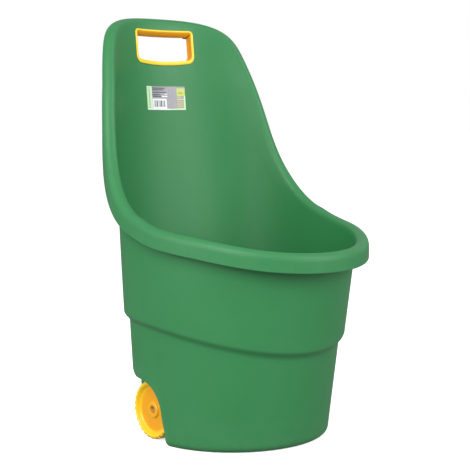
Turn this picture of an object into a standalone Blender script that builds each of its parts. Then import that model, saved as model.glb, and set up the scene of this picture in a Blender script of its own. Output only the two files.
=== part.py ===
"""Garden cart: one moulded tub with a tall back, a hand-hole grip and two wheels on a steel axle.

Metres, +Z up. The cart stands on the floor (z = 0) and faces -Y: the low rim is at the front,
the tall panel with the hand hole at the back. X = 0 is its plane of symmetry.
"""

import math

import bmesh
import bpy
import numpy as np
from mathutils import Vector
from mathutils.bvhtree import BVHTree

# ---------------------------------------------------------------- driving dimensions
WALL = 0.0026               # thickness of the moulding
GAP = 0.0003                # air between pieces that touch

HALF_WIDTH = 0.1898         # of the tub at the floor
FRONT = 0.1846              # reach of the tub in front of its widest line, at the floor
BACK = 0.1487               # reach behind that line
WAIST_Y = 0.00614           # of the widest line, so that the whole cart is centred on the origin
SIDE_FLARE = 0.051          # how much each of them grows per metre of height
FRONT_FLARE = 0.175
BACK_FLARE = 0.108
FRONT_POWER = 2.0           # superellipse power of the plan: 2 is an ellipse, more is boxier
BACK_POWER_LOW = 3.17
BACK_POWER_HIGH = 2.12
BLEND_HEIGHT = 0.70         # where the back reaches its upper power

LEDGE_FRONT = 0.182         # height of the ledge round the tub at the front
LEDGE_STEP = 0.0096         # how far it steps out
LEDGE_RISE = 0.011          # height of the sloping step
CORNER_RADIUS = 0.014       # of the floor's edge
FOOT_RECESS = 0.005         # the middle of the floor stands this much higher

RIM_WIDTH = 0.0249          # from the wall to the outside of the turned-down flange
RIM_DEPTH = 0.0313          # of the flange
RIM_ROOT = 0.030            # the wall runs up to here, and the rim's own section takes over
# The rim's line: degrees round the plan from the front, and height
RIM_STATIONS = [
    (0, 0.3804), (35, 0.3896), (65, 0.4115), (82, 0.4254), (116, 0.5425),
    (126.8, 0.6516), (136.6, 0.7550), (144.1, 0.8034), (180, 0.8350),
]
DEGREES_TO_METRES = 0.0035  # length of a degree round the plan, near enough for spacing

HALF_COLUMNS = 36           # facets round half of the tub

WHEEL_RADIUS = 0.058
WHEEL_X = 0.158             # the wheel's own zero, near the middle of its tread
WHEEL_OUTER = 0.016         # from there to its outer face
WHEEL_INNER = 0.020         # and to its inner face
AXLE_Y = 0.0565
AXLE_Z = WHEEL_RADIUS
AXLE_RADIUS = 0.005
BORE_RADIUS = AXLE_RADIUS + GAP
LUGS = 30
LUG_DEPTH = 0.0022

WELL_SIDE = 0.131           # the well's inner wall
WELL_Y = 0.059              # middle of the arch over the wheel
WELL_RADIUS = 0.0635        # of the arch over the wheel
TUNNEL_HALF = 0.010         # half the width of the axle's channel under the floor
HUB_INNER = -0.023          # ends of the hub, outwards from the wheel's own zero
HUB_OUTER = 0.0115
HUB_SEAT = -0.001           # floor of the counterbore in the hub's outer end
HUB_RECESS = 0.0080         # radius of that counterbore
WASHER = 0.0012

GRIP_HALF = 0.0722          # hand hole in the panel: half width, top and bottom
GRIP_TOP = 0.8125
GRIP_BOTTOM = 0.7515
GRIP_BOW = 0.005            # how far the bottom edge bows down
GRIP_DEPTH = 0.016          # of the sleeve, behind the panel's front face
PANEL_SLOPE = BACK_FLARE    # the panel leans back by this much per metre

LABEL_LEFT = -0.0518        # the label is stuck on a little off centre
LABEL_RIGHT = 0.0484
LABEL_TOP = 0.6956
LABEL_BOTTOM = 0.6456
LABEL_THICKNESS = 0.0005


# ---------------------------------------------------------------- scene helpers
def clear_scene():
    for obj in list(bpy.data.objects):
        bpy.data.objects.remove(obj, do_unlink=True)


def material(name, colour, roughness, metallic=0.0):
    made = bpy.data.materials.new(name)
    made.use_nodes = True
    shader = made.node_tree.nodes["Principled BSDF"]
    shader.inputs["Base Color"].default_value = (*colour, 1.0)
    shader.inputs["Roughness"].default_value = roughness
    shader.inputs["Metallic"].default_value = metallic
    return made


def add_object(name, points, faces, finish=None, location=(0, 0, 0), parent=None):
    """A mesh object with its faces turned outwards and its round parts shaded smooth."""
    mesh = bpy.data.meshes.new(name)
    shape = bmesh.new()
    corners = [shape.verts.new(point) for point in points]
    for face in faces:
        shape.faces.new([corners[index] for index in face])
    bmesh.ops.recalc_face_normals(shape, faces=shape.faces)
    shape.to_mesh(mesh)
    shape.free()
    mesh.shade_smooth()
    mesh.set_sharp_from_angle(angle=math.radians(35))
    obj = bpy.data.objects.new(name, mesh)
    bpy.context.collection.objects.link(obj)
    obj.location = location
    obj.parent = parent
    if finish:
        mesh.materials.append(finish)
    return obj


def as_helper(obj):
    obj.hide_render = True
    obj.display_type = "WIRE"
    return obj


def combine(obj, operation, other, name):
    step = obj.modifiers.new(name, "BOOLEAN")
    step.operation = operation
    step.solver = "EXACT"
    step.object = other


def loft(rings, closed_along=False):
    """Points and faces of a skin over rings of equal length. Its ends are capped, or joined to each other."""
    count = len(rings[0])
    points = [point for ring in rings for point in ring]
    faces = []
    last = len(rings) if closed_along else len(rings) - 1
    for row in range(last):
        low, high = row * count, ((row + 1) % len(rings)) * count
        for column in range(count):
            after = (column + 1) % count
            faces.append((low + column, low + after, high + after, high + column))
    if not closed_along:
        for row in (0, len(rings) - 1):
            points.append(tuple(np.mean(rings[row], axis=0)))
            for column in range(count):
                faces.append((row * count + column, row * count + (column + 1) % count, len(points) - 1))
    return points, faces


def prism(outline, low, high):
    """A (y, z) outline extended along X from low to high."""
    return loft([[(x, y, z) for y, z in outline] for x in (low, high)])


def turned(profile, segments, radius_change=None):
    """A closed (x, radius) profile turned about the X axis."""
    rings = []
    for step in range(segments):
        angle = 2 * math.pi * step / segments
        ring = []
        for index, (along, radius) in enumerate(profile):
            if radius_change:
                radius += radius_change(index, step)
            ring.append((along, radius * math.cos(angle), radius * math.sin(angle)))
        rings.append(ring)
    return loft(rings, closed_along=True)


# ---------------------------------------------------------------- the tub's surface
def superellipse(phi, power):
    """Unit plan position at an angle from the front: (sideways, forwards)."""
    side, ahead = math.sin(phi), math.cos(phi)
    return abs(side) ** (2 / power), math.copysign(abs(ahead) ** (2 / power), ahead)


def reach(z, stepped_out):
    """Half width, front and back reach, and the back's power at a height."""
    out = LEDGE_STEP if stepped_out else 0.0
    blend = min(max(z / BLEND_HEIGHT, 0.0), 1.0)
    power = BACK_POWER_LOW + (BACK_POWER_HIGH - BACK_POWER_LOW) * blend
    return (HALF_WIDTH + SIDE_FLARE * z + out, FRONT + FRONT_FLARE * z + out,
            BACK + BACK_FLARE * z + out, power)


def wall_point(phi, z, inset=0.0, stepped_out=True, scale=1.0):
    """A point on the left half of the tub's outer face, or inset from it."""
    half, front, back, power = reach(z, stepped_out)
    if phi <= math.pi / 2:
        side, ahead = superellipse(phi, FRONT_POWER)
        length = front
    else:
        side, ahead = superellipse(phi, power)
        length = back
    return Vector((-side * (half - inset) * scale, WAIST_Y - ahead * (length - inset) * scale, z))


def angle_of(point):
    """The angle round the plan of a point near the tub's upper wall."""
    half, front, back, back_power = reach(point.z, True)
    behind = point.y - WAIST_Y
    length, power = (front, FRONT_POWER) if behind < 0 else (back, back_power)
    side = (abs(point.x) / half) ** (power / 2)
    ahead = (abs(behind) / length) ** (power / 2)
    return math.atan2(side, -math.copysign(ahead, behind))


def outward(phi, z):
    """The wall's outward direction in the plan."""
    step = 0.01
    before = wall_point(max(phi - step, 0.0), z)
    after = wall_point(min(phi + step, math.pi), z)
    along = after - before
    normal = Vector((along.y, -along.x, 0.0)).normalized()
    from_middle = wall_point(phi, z) - Vector((0.0, WAIST_Y, z))
    return normal if normal.dot(from_middle) > 0 else -normal


def ledge_height(phi):
    """The ledge climbs towards the back, in step with the rim."""
    return LEDGE_FRONT + 0.0238 * (1 - math.cos(phi)) + 0.0107 * (1 - math.cos(2 * phi))


def smooth_line(stations, count):
    """count points, evenly spaced, on the smooth curve through the stations, level at both ends."""
    fixed = np.array(stations, float)
    scaled = fixed * [DEGREES_TO_METRES, 1.0]
    gaps = np.linalg.norm(np.diff(scaled, axis=0), axis=1)
    rates = np.diff(fixed, axis=0) / gaps[:, None]
    size = len(fixed)
    matrix, wanted = np.eye(size), np.zeros((size, 2))
    wanted[0], wanted[-1] = (1 / DEGREES_TO_METRES, 0.0), (rates[-1][0], 0.0)
    for row in range(1, size - 1):
        before, after = gaps[row - 1], gaps[row]
        matrix[row, row - 1:row + 2] = after, 2 * (before + after), before
        wanted[row] = 3 * (after * rates[row - 1] + before * rates[row])
    slopes = np.linalg.solve(matrix, wanted)
    dense = []
    for span in range(size - 1):
        for part in np.linspace(0, 1, 60, endpoint=False):
            low, high = (1 + 2 * part) * (1 - part) ** 2, part ** 2 * (3 - 2 * part)
            rise, fall = part * (1 - part) ** 2, part ** 2 * (part - 1)
            dense.append(low * fixed[span] + high * fixed[span + 1]
                         + gaps[span] * (rise * slopes[span] + fall * slopes[span + 1]))
    dense = np.array(dense + [fixed[-1]])
    steps = np.linalg.norm(np.diff(dense * [DEGREES_TO_METRES, 1.0], axis=0), axis=1)
    length = np.concatenate([[0], np.cumsum(steps)])
    even = np.linspace(0, length[-1], count)
    return np.stack([np.interp(even, length, dense[:, axis]) for axis in (0, 1)], axis=1)


def rim_frames(count):
    """For each column: angle, point on the rim's line, outward direction, and the way up along the wall."""
    line = smooth_line(RIM_STATIONS, count)
    angles = np.radians(line[:, 0])
    places = [wall_point(phi, z) for phi, z in zip(angles, line[:, 1])]
    frames = []
    for index, phi in enumerate(angles):
        if index == 0:
            along = Vector((-1, 0, 0))
        elif index == count - 1:
            along = Vector((1, 0, 0))
        else:
            along = (places[index + 1] - places[index - 1]).normalized()
        away = outward(phi, places[index].z)
        up = away.cross(along).normalized()
        frames.append((phi, places[index], away, up if up.z > 0 or up.y < 0 else -up))
    return frames


def rim_section():
    """The turned-over rim, from the wall's outer face over the crown to its inner face: (outwards, up)."""
    inside = RIM_WIDTH - WALL
    return [
        (0.0, -0.008), (0.0042, 0.0004), (0.0125, 0.0020), (0.0198, -0.0010), (inside, -0.0085),
        (inside, -RIM_DEPTH), (RIM_WIDTH, -RIM_DEPTH), (RIM_WIDTH, -0.0075), (0.0226, -0.0001),
        (0.0180, 0.0038), (0.0125, 0.0050), (0.0052, 0.0042), (-0.0006, 0.0006), (-WALL, -0.0060),
    ]


def wall_rows(phi, root, inset):
    """One column of the wall, from the floor's middle to the rim's root, as points."""
    foot = WALL if inset else 0.0
    ledge = ledge_height(phi)
    column = [wall_point(phi, FOOT_RECESS + foot, 0, False, scale) for scale in (0.40, 0.80)]
    column.append(wall_point(phi, foot, 0, False, 0.84))
    column.append(wall_point(phi, foot, CORNER_RADIUS, False))
    column.append(wall_point(phi, 0.3 * CORNER_RADIUS + 0.7 * foot, 0.3 * CORNER_RADIUS + 0.7 * inset, False))
    for part in (0.0, 0.33, 0.66, 1.0):
        column.append(wall_point(phi, CORNER_RADIUS + (ledge - CORNER_RADIUS) * part, inset, False))
    top = ledge + LEDGE_RISE
    root_phi = angle_of(root)
    for part in (0.0, 0.2, 0.4, 0.6, 0.8, 1.0):
        turn = phi + (root_phi - phi) * part ** 2
        column.append(wall_point(turn, top + (root.z - top) * part, inset))
    return column


def tub_columns():
    """Closed columns of the shell: up the outside, over the rim, and down the inside."""
    columns = []
    for phi, place, away, up in rim_frames(HALF_COLUMNS + 1):
        root = place - up * RIM_ROOT
        outside = wall_rows(phi, root, 0.0)
        inside = wall_rows(phi, root, WALL)
        rim = [place + away * out + up * rise for out, rise in rim_section()]
        column = outside + rim + inside[::-1]
        columns.append(column)
    for column in (columns[0], columns[-1]):
        for point in column:
            point.x = 0.0
    return columns


def mirrored(columns):
    """The whole tub's rings, from columns of its left half."""
    right = [[Vector((-p.x, p.y, p.z)) for p in column] for column in columns[-2:0:-1]]
    return [list(ring) for ring in zip(*(columns + right))]


# ---------------------------------------------------------------- wheel wells and the axle's channel
def well_outline(grow=0.0, bottom=-0.01):
    """(y, z) outline of the space round a wheel: an arch in front, open to the back."""
    radius = WELL_RADIUS + grow
    front_foot = WELL_Y - WELL_RADIUS - 0.011 - grow
    outline = [(front_foot, bottom), (front_foot + 0.004, 0.026)]
    for step in range(9):
        angle = math.pi - step * math.pi / 16
        outline.append((WELL_Y + radius * math.cos(angle), AXLE_Z + radius * math.sin(angle)))
    for back, rise in ((0.026, 0.0015), (0.040, 0.0070), (0.052, 0.0125), (0.066, 0.0165), (0.150, 0.0210)):
        outline.append((WELL_Y + back, AXLE_Z + radius + rise))
    outline.append((WELL_Y + 0.150, bottom))
    return outline


def channel_outline(half, bottom=-0.01):
    """(y, z) outline of the channel that the axle lies in: an arch open below."""
    outline = [(AXLE_Y - half, bottom)]
    for step in range(9):
        angle = math.pi - step * math.pi / 8
        outline.append((AXLE_Y + half * math.cos(angle), AXLE_Z + half * math.sin(angle)))
    outline.append((AXLE_Y + half, bottom))
    return outline


def make_core():
    """A solid that fills the lower tub to the middle of its wall. It trims the wells' casings."""
    rings = []
    middle = WALL / 2
    corner = 0.3 * CORNER_RADIUS + 0.7 * middle
    for z, inset in ((middle, CORNER_RADIUS), (corner, corner), (CORNER_RADIUS, middle),
                     (0.06, middle), (0.11, middle), (0.17, middle)):
        half = [wall_point(math.pi * step / HALF_COLUMNS, z, inset, False)
                for step in range(HALF_COLUMNS + 1)]
        right = [Vector((-p.x, p.y, p.z)) for p in half[-2:0:-1]]
        rings.append(half + right)
    return as_helper(add_object("core", *loft(rings)))


def wells_and_channel(name, grow, bottom):
    """Both wheel wells and the channel between them as one solid, or their casing when grown by the wall."""
    side_wall = WELL_SIDE - grow
    channel = prism(channel_outline(TUNNEL_HALF + grow, bottom - 0.001), -side_wall - 0.004, side_wall + 0.004)
    whole = as_helper(add_object(name, *channel))
    for side, hand in ((-1, "left"), (1, "right")):
        ends = sorted((side * side_wall, side * 0.25))
        well = prism(well_outline(grow, bottom), *ends)
        combine(whole, "UNION", as_helper(add_object(f"{name}_{hand}", *well)), hand)
    return whole


def cut_tub(tub):
    """Adds the casing of the wells and the axle's channel inside the tub, then opens it from outside."""
    casing = wells_and_channel("casing", WALL, -0.001)
    combine(casing, "INTERSECT", make_core(), "trim")
    combine(tub, "UNION", casing, "casing")
    combine(tub, "DIFFERENCE", wells_and_channel("space", 0.0, -0.010), "space")


# ---------------------------------------------------------------- hand hole and grip
def grip_outline():
    """The hand hole's edge as (x, z, normal x, normal z), clockwise from the middle of its top."""
    top_radius, low_radius = 0.006, 0.010
    edge = [(x, GRIP_TOP, 0.0, 1.0) for x in np.linspace(0, GRIP_HALF - top_radius, 6)]
    for step in range(1, 4):
        angle = math.pi / 2 - step * math.pi / 6
        edge.append((GRIP_HALF - top_radius + top_radius * math.cos(angle),
                     GRIP_TOP - top_radius + top_radius * math.sin(angle), math.cos(angle), math.sin(angle)))
    side_ends = (GRIP_TOP - top_radius, GRIP_BOTTOM + low_radius)
    for z in np.linspace(*side_ends, 5)[1:]:
        edge.append((GRIP_HALF, z, 1.0, 0.0))
    for step in range(1, 6):
        angle = -step * math.pi / 10
        edge.append((GRIP_HALF - low_radius + low_radius * math.cos(angle),
                     GRIP_BOTTOM + low_radius + low_radius * math.sin(angle), math.cos(angle), math.sin(angle)))
    for x in np.linspace(GRIP_HALF - low_radius, 0, 6)[1:]:
        edge.append((x, GRIP_BOTTOM, 0.0, -1.0))
    bowed = []
    for x, z, nx, nz in edge:
        low = (GRIP_TOP - z) / (GRIP_TOP - GRIP_BOTTOM)
        bowed.append((x, z - GRIP_BOW * low ** 3 * (1 - (x / GRIP_HALF) ** 2), nx, nz))
    left = [(-x, z, -nx, nz) for x, z, nx, nz in bowed[-2:0:-1]]
    return bowed + left


class Panel:
    """Finds the tall panel's front and back faces along the hand hole's axis."""

    def __init__(self, points, faces):
        self.tree = BVHTree.FromPolygons([tuple(p) for p in points], faces)
        middle = wall_point(math.pi, (GRIP_TOP + GRIP_BOTTOM) / 2)
        self.start = middle.y
        self.axis = Vector((0, 1, -PANEL_SLOPE)).normalized()

    def place(self, x, z, depth):
        """Depth 0 is the plane through the hole's middle, on the panel's back face."""
        return Vector((x, self.start + depth, z - PANEL_SLOPE * depth))

    def front(self, x, z):
        hit = self.tree.ray_cast(self.place(x, z, -0.12), self.axis)[0]
        return hit.y - self.start

    def back(self, x, z):
        hit = self.tree.ray_cast(self.place(x, z, 0.015), -self.axis)[0]
        return hit.y - self.start


def make_hole_cutter(panel):
    rings = []
    for depth in (-0.05, 0.03):
        rings.append([panel.place(x, z, depth) for x, z, _, _ in grip_outline()])
    return as_helper(add_object("hand_hole", *loft(rings)))


def grip_front_section(panel, x, z, nx, nz):
    """The front piece of the grip, cut at one place of the hole's edge: a lip, a sleeve and a finger roll."""
    low = max(0.0, -nz) ** 2
    roll = 0.0085 * max(0.0, nz) ** 2
    lip = 0.0031 + 0.0029 * low
    sleeve_out, sleeve_in = -GAP, -0.0021
    face = panel.front(x, z)
    lip_face = panel.front(x + nx * lip, z + nz * lip)
    section = [
        (sleeve_out, face + GRIP_DEPTH), (sleeve_out, face - GAP), (lip, lip_face - GAP),
        (lip, lip_face - 0.0018), (0.4 * lip, face - 0.0030), (sleeve_in, face - 0.0022),
        (sleeve_in - 0.65 * roll, face + 0.0020), (sleeve_in - roll, face + 0.0080),
        (sleeve_in - 0.8 * roll, face + GRIP_DEPTH),
    ]
    return [panel.place(x + nx * out, z + nz * out, depth) for out, depth in section]


def grip_rear_section(panel, x, z, nx, nz):
    """The rear frame: a flange on the back of the panel and a collar round the sleeve."""
    flange, collar = 0.0045, 0.0018
    clear = 2.5 * GAP
    face = panel.back(x, z) + clear
    flange_face = panel.back(x + nx * flange, z + nz * flange) + clear
    section = [
        (0.0, face), (flange, flange_face), (flange, flange_face + 0.0020), (collar, face + 0.0028),
        (collar, face + 0.0115), (0.0, face + 0.0115),
    ]
    return [panel.place(x + nx * out, z + nz * out, depth) for out, depth in section]


def make_grip(name, section, panel, finish):
    rings = [section(panel, *station) for station in grip_outline()]
    return add_object(name, *loft(rings, closed_along=True), finish)


def make_label(panel, finish):
    """A thin sheet on the panel, following its curve."""
    columns, rows = 9, 4
    sheets = []
    for lift in (GAP, GAP + LABEL_THICKNESS):
        sheet = []
        for row in range(rows):
            z = LABEL_BOTTOM + (LABEL_TOP - LABEL_BOTTOM) * row / (rows - 1)
            for column in range(columns):
                x = LABEL_LEFT + (LABEL_RIGHT - LABEL_LEFT) * column / (columns - 1)
                sheet.append(panel.place(x, z, panel.front(x, z) - lift))
        sheets.append(sheet)
    faces = []
    count = rows * columns
    for layer in (0, count):
        for row in range(rows - 1):
            for column in range(columns - 1):
                first = layer + row * columns + column
                faces.append((first, first + 1, first + columns + 1, first + columns))
    border = [*range(columns), *(columns * row + columns - 1 for row in range(1, rows)),
              *range(count - 2, count - columns - 1, -1),
              *(columns * row for row in range(rows - 2, 0, -1))]
    for here, after in zip(border, border[1:] + border[:1]):
        faces.append((here, after, after + count, here + count))
    return add_object("label", sheets[0] + sheets[1], faces, finish)


# ---------------------------------------------------------------- wheels and axle
def wheel_profile(side):
    """(x, radius) outline of a one-piece moulded wheel, with its dish on the outer side."""
    inner, outer, radius = -WHEEL_INNER, WHEEL_OUTER, WHEEL_RADIUS
    outline = [
        (HUB_INNER, BORE_RADIUS), (HUB_INNER, 0.0135), (0.002, 0.0145), (0.002, 0.0440),
        (inner + 0.001, 0.0505), (inner, 0.0525), (inner, radius - 0.0045), (inner + 0.0025, radius),
        (outer - 0.0035, radius), (outer - 0.0005, radius - 0.0030), (outer, radius - 0.0055),
        (outer - 0.0010, 0.0500), (0.0080, 0.0465), (0.0060, 0.0440), (0.0060, 0.0165),
        (HUB_OUTER - 0.001, 0.0150), (HUB_OUTER, 0.0140), (HUB_OUTER, HUB_RECESS),
        (HUB_SEAT, HUB_RECESS), (HUB_SEAT, BORE_RADIUS),
    ]
    return [(side * along, around) for along, around in outline]


def make_wheel(name, side, finish, axle_line):
    tread = (7, 8)

    def lug(index, step):
        return -LUG_DEPTH if index in tread and step % 2 else 0.0

    shape = turned(wheel_profile(side), 2 * LUGS, lug)
    return add_object(name, *shape, finish, (side * WHEEL_X, 0, 0), axle_line)


def make_ring(name, along, thick, outer, inner, finish, axle_line):
    low, high = along - thick / 2, along + thick / 2
    shape = turned([(low, inner), (low, outer), (high, outer), (high, inner)], 24)
    return add_object(name, *shape, finish, parent=axle_line)


def make_axle(finish, axle_line):
    end = WHEEL_X + HUB_SEAT + 0.0055
    rings = []
    for along, radius in ((-end, 0.0042), (-end + 0.0008, AXLE_RADIUS), (end - 0.0008, AXLE_RADIUS),
                          (end, 0.0042)):
        rings.append([(along, radius * math.cos(math.pi * step / 12), radius * math.sin(math.pi * step / 12))
                      for step in range(24)])
    return add_object("axle", *loft(rings), finish, parent=axle_line)


def make_cap(name, side, finish, axle_line):
    """A push-on cap over the axle's end: a cup that bites on the rod."""
    base = WHEEL_X + HUB_SEAT + WASHER + 2 * GAP
    outline = [(0.0, BORE_RADIUS), (0.0, 0.0073), (0.0010, 0.0073), (0.0014, 0.0067), (0.0046, 0.0064),
               (0.0058, 0.0052), (0.0058, 0.0016), (0.0048, 0.0016), (0.0048, BORE_RADIUS)]
    outline = [(side * (base + along), around) for along, around in outline]
    return add_object(name, *turned(outline, 24), finish, parent=axle_line)


def make_bearing(name, side, finish, axle_line):
    """A saddle pushed up into the channel's end. It carries the axle, and its flange lies on the well's wall."""
    half = TUNNEL_HALF - GAP
    rings = []
    flange = WELL_SIDE + GAP
    for along, out in ((WELL_SIDE - 0.018, 0.0), (flange, 0.0), (flange, 0.004), (flange + 0.0016, 0.004)):
        ring = []
        for step in range(24):
            angle = 2 * math.pi * step / 24
            across, up = math.cos(angle), math.sin(angle)
            size = half + out
            if up < 0:
                stretch = size / max(abs(across), abs(up))
                ring.append((side * along, across * stretch, 1.3 * up * stretch))
            else:
                ring.append((side * along, across * size, up * size))
        rings.append(ring)
    for along in (flange + 0.0016, WELL_SIDE - 0.018):
        rings.append([(side * along, BORE_RADIUS * math.cos(math.pi * step / 12),
                       BORE_RADIUS * math.sin(math.pi * step / 12)) for step in range(24)])
    return add_object(name, *loft(rings, closed_along=True), finish, parent=axle_line)


# ---------------------------------------------------------------- the cart
def build():
    clear_scene()
    green = material("green_plastic", (0.060, 0.270, 0.105), 0.42)
    yellow = material("yellow_plastic", (0.90, 0.47, 0.03), 0.35)
    steel = material("zinc_steel", (0.45, 0.45, 0.46), 0.35, 1.0)
    paper = material("label_film", (0.45, 0.46, 0.47), 0.5)
    black = material("black_plastic", (0.03, 0.03, 0.03), 0.5)

    points, faces = loft(mirrored(tub_columns()))
    panel = Panel(points, faces)
    tub = add_object("tub", points, faces, green)
    cut_tub(tub)
    combine(tub, "DIFFERENCE", make_hole_cutter(panel), "hand_hole")

    make_grip("grip_front", grip_front_section, panel, yellow)
    make_grip("grip_rear", grip_rear_section, panel, yellow)
    make_label(panel, paper)

    axle_line = bpy.data.objects.new("axle_line", None)
    bpy.context.collection.objects.link(axle_line)
    axle_line.location = (0, AXLE_Y, AXLE_Z)
    make_axle(steel, axle_line)
    for side, name in ((-1, "left"), (1, "right")):
        make_wheel(f"wheel_{name}", side, yellow, axle_line)
        make_bearing(f"axle_bearing_{name}", side, black, axle_line)
        inner = side * (WHEEL_X + HUB_INNER - GAP - WASHER / 2)
        make_ring(f"inner_washer_{name}", inner, WASHER, 0.0115, BORE_RADIUS, steel, axle_line)
        outer = side * (WHEEL_X + HUB_SEAT + GAP + WASHER / 2)
        make_ring(f"outer_washer_{name}", outer, WASHER, 0.0075, BORE_RADIUS, steel, axle_line)
        make_cap(f"axle_cap_{name}", side, steel, axle_line)


build()
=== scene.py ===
# %% [markdown]
# # A moulded garden cart
# The cart is one thin green tub with a tall back. A yellow two-part grip is clipped into a hand hole
# near the top of the back, a printed label sits below it, and two yellow wheels turn on a steel axle
# that runs through a channel under the floor.
#
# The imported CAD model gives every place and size. This script builds finer versions of the pieces
# around it, gives them real plastic, steel and print, and lights them.

# %% Load the fixed frame
import math

import bmesh
import bpy
import numpy as np
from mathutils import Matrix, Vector
from mathutils.bvhtree import BVHTree


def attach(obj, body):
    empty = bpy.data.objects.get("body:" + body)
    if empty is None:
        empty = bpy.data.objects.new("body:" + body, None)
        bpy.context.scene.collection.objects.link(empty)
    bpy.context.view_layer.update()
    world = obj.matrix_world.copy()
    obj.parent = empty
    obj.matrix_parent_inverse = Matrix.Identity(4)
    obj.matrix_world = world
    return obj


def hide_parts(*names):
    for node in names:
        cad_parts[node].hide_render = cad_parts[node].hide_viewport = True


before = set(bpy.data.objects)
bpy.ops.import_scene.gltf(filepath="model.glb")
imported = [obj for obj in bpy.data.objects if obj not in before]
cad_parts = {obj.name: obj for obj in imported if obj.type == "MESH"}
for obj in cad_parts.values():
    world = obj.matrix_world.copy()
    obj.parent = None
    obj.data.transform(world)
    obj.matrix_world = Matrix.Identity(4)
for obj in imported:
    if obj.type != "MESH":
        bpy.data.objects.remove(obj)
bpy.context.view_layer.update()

# %% [markdown]
# ## Camera
# A cart this tall looks natural from a few metres away, a little above its middle, where its sides stay
# nearly upright. A short lens close up would splay them, so the lens is long. The camera is placed first,
# because every later choice of detail depends on how large things look.

# %% Camera
camera_data = bpy.data.cameras.new("camera")
camera_data.lens = 96.08
camera_data.sensor_width = 36.0
camera_data.shift_x = 0.0014
camera = bpy.data.objects.new("camera", camera_data)
camera.location = (-1.60064, -1.91359, 0.63111)
camera.rotation_euler = (math.radians(84.659), 0.0, math.radians(-39.802))
bpy.context.collection.objects.link(camera)
bpy.context.scene.camera = camera

# %% [markdown]
# ## Floor and light
# The cart stands on a white floor in an evenly lit room. Three big soft lamps shape it: the key from the
# front left, a wide fill from the front right, and a lower one at the left for the flank. They could do
# it alone, but the inside of the tub would be too dark, so a pale sky, only a touch brighter overhead,
# reaches in from every side.
#
# A white floor throws so much light back up that the shade under the lip would vanish, so the floor
# sends less light to the cart than it shows to the eye. To the eye alone it also glows, which hides the
# line where it meets the sky and leaves the shadow at the foot faint.

# %% Floor
FLOOR_HALF = 40.0
FLOOR_TO_CART, FLOOR_TO_EYE, FLOOR_GLOW = 0.34, 0.98, 0.60


def floor_material():
    made = bpy.data.materials.new("pale_floor")
    made.use_nodes = True
    tree = made.node_tree
    shader = tree.nodes["Principled BSDF"]
    seen = tree.nodes.new("ShaderNodeLightPath").outputs["Is Camera Ray"]
    tone = tree.nodes.new("ShaderNodeMapRange")
    tone.inputs["To Min"].default_value, tone.inputs["To Max"].default_value = FLOOR_TO_CART, FLOOR_TO_EYE
    tree.links.new(seen, tone.inputs["Value"])
    tree.links.new(tone.outputs["Result"], shader.inputs["Base Color"])
    glow = tree.nodes.new("ShaderNodeMapRange")
    glow.inputs["To Max"].default_value = FLOOR_GLOW
    tree.links.new(seen, glow.inputs["Value"])
    tree.links.new(glow.outputs["Result"], shader.inputs["Emission Strength"])
    shader.inputs["Emission Color"].default_value = (1.0, 1.0, 1.0, 1.0)
    shader.inputs["Roughness"].default_value = 0.9
    shader.inputs["Specular IOR Level"].default_value = 0.1
    return made


floor_mesh = bpy.data.meshes.new("floor")
floor_mesh.from_pydata([(-FLOOR_HALF, -FLOOR_HALF, 0), (FLOOR_HALF, -FLOOR_HALF, 0),
                        (FLOOR_HALF, FLOOR_HALF, 0), (-FLOOR_HALF, FLOOR_HALF, 0)], [], [(0, 1, 2, 3)])
floor_mesh.materials.append(floor_material())
floor = bpy.data.objects.new("floor", floor_mesh)
bpy.context.collection.objects.link(floor)


# %% Lamps and surroundings
def soft_lamp(name, place, aim, size, power):
    """A square area lamp that points at aim."""
    data = bpy.data.lights.new(name, "AREA")
    data.size = size
    data.energy = power
    lamp = bpy.data.objects.new(name, data)
    lamp.location = place
    lamp.rotation_euler = (Vector(aim) - Vector(place)).to_track_quat("-Z", "Y").to_euler()
    bpy.context.collection.objects.link(lamp)


soft_lamp("key", (-2.9, -1.8, 2.3), (0, 0, 0.45), 2.0, 101)
soft_lamp("right_fill", (1.6, -3.5, 2.0), (0, 0, 0.45), 3.0, 108)
soft_lamp("left_fill", (-3.2, 0.4, 1.2), (0, 0, 0.40), 1.6, 34)

HORIZON, ZENITH = 0.52, 0.54
world = bpy.data.worlds.new("white_room")
bpy.context.scene.world = world
world.use_nodes = True
room = world.node_tree
sky = room.nodes["Background"]
direction = room.nodes.new("ShaderNodeTexCoord").outputs["Generated"]
split = room.nodes.new("ShaderNodeSeparateXYZ")
room.links.new(direction, split.inputs[0])
rise = room.nodes.new("ShaderNodeMapRange")
rise.inputs["To Min"].default_value, rise.inputs["To Max"].default_value = HORIZON, ZENITH
room.links.new(split.outputs["Z"], rise.inputs["Value"])
room.links.new(rise.outputs["Result"], sky.inputs["Strength"])
backdrop = room.nodes.new("ShaderNodeBackground")
mixed = room.nodes.new("ShaderNodeMixShader")
room.links.new(room.nodes.new("ShaderNodeLightPath").outputs["Is Camera Ray"], mixed.inputs[0])
room.links.new(sky.outputs[0], mixed.inputs[1])
room.links.new(backdrop.outputs[0], mixed.inputs[2])
room.links.new(mixed.outputs[0], room.nodes["World Output"].inputs["Surface"])
for light in (sky, backdrop):
    light.inputs["Color"].default_value = (1.0, 1.0, 1.0, 1.0)
backdrop.inputs["Strength"].default_value = 1.0
bpy.context.scene.view_settings.view_transform = "Standard"

# %% [markdown]
# ## Helpers for mesh
# Nearly every piece of the cart is a skin over a family of outlines: rings stacked up the tub, or a
# profile turned round the axle. Building them from rows of points keeps the control that sculpting or a
# stack of primitives would lose, because each row is a real section of the moulding.

# %% Build a mesh from rings
SHARP_CORNER = 40


def make_mesh(name, points, faces):
    """A mesh whose faces all point outwards."""
    mesh = bpy.data.meshes.new(name)
    mesh.from_pydata([tuple(p) for p in points], [], faces)
    shape = bmesh.new()
    shape.from_mesh(mesh)
    bmesh.ops.recalc_face_normals(shape, faces=shape.faces)
    shape.to_mesh(mesh)
    shape.free()
    return mesh


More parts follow.
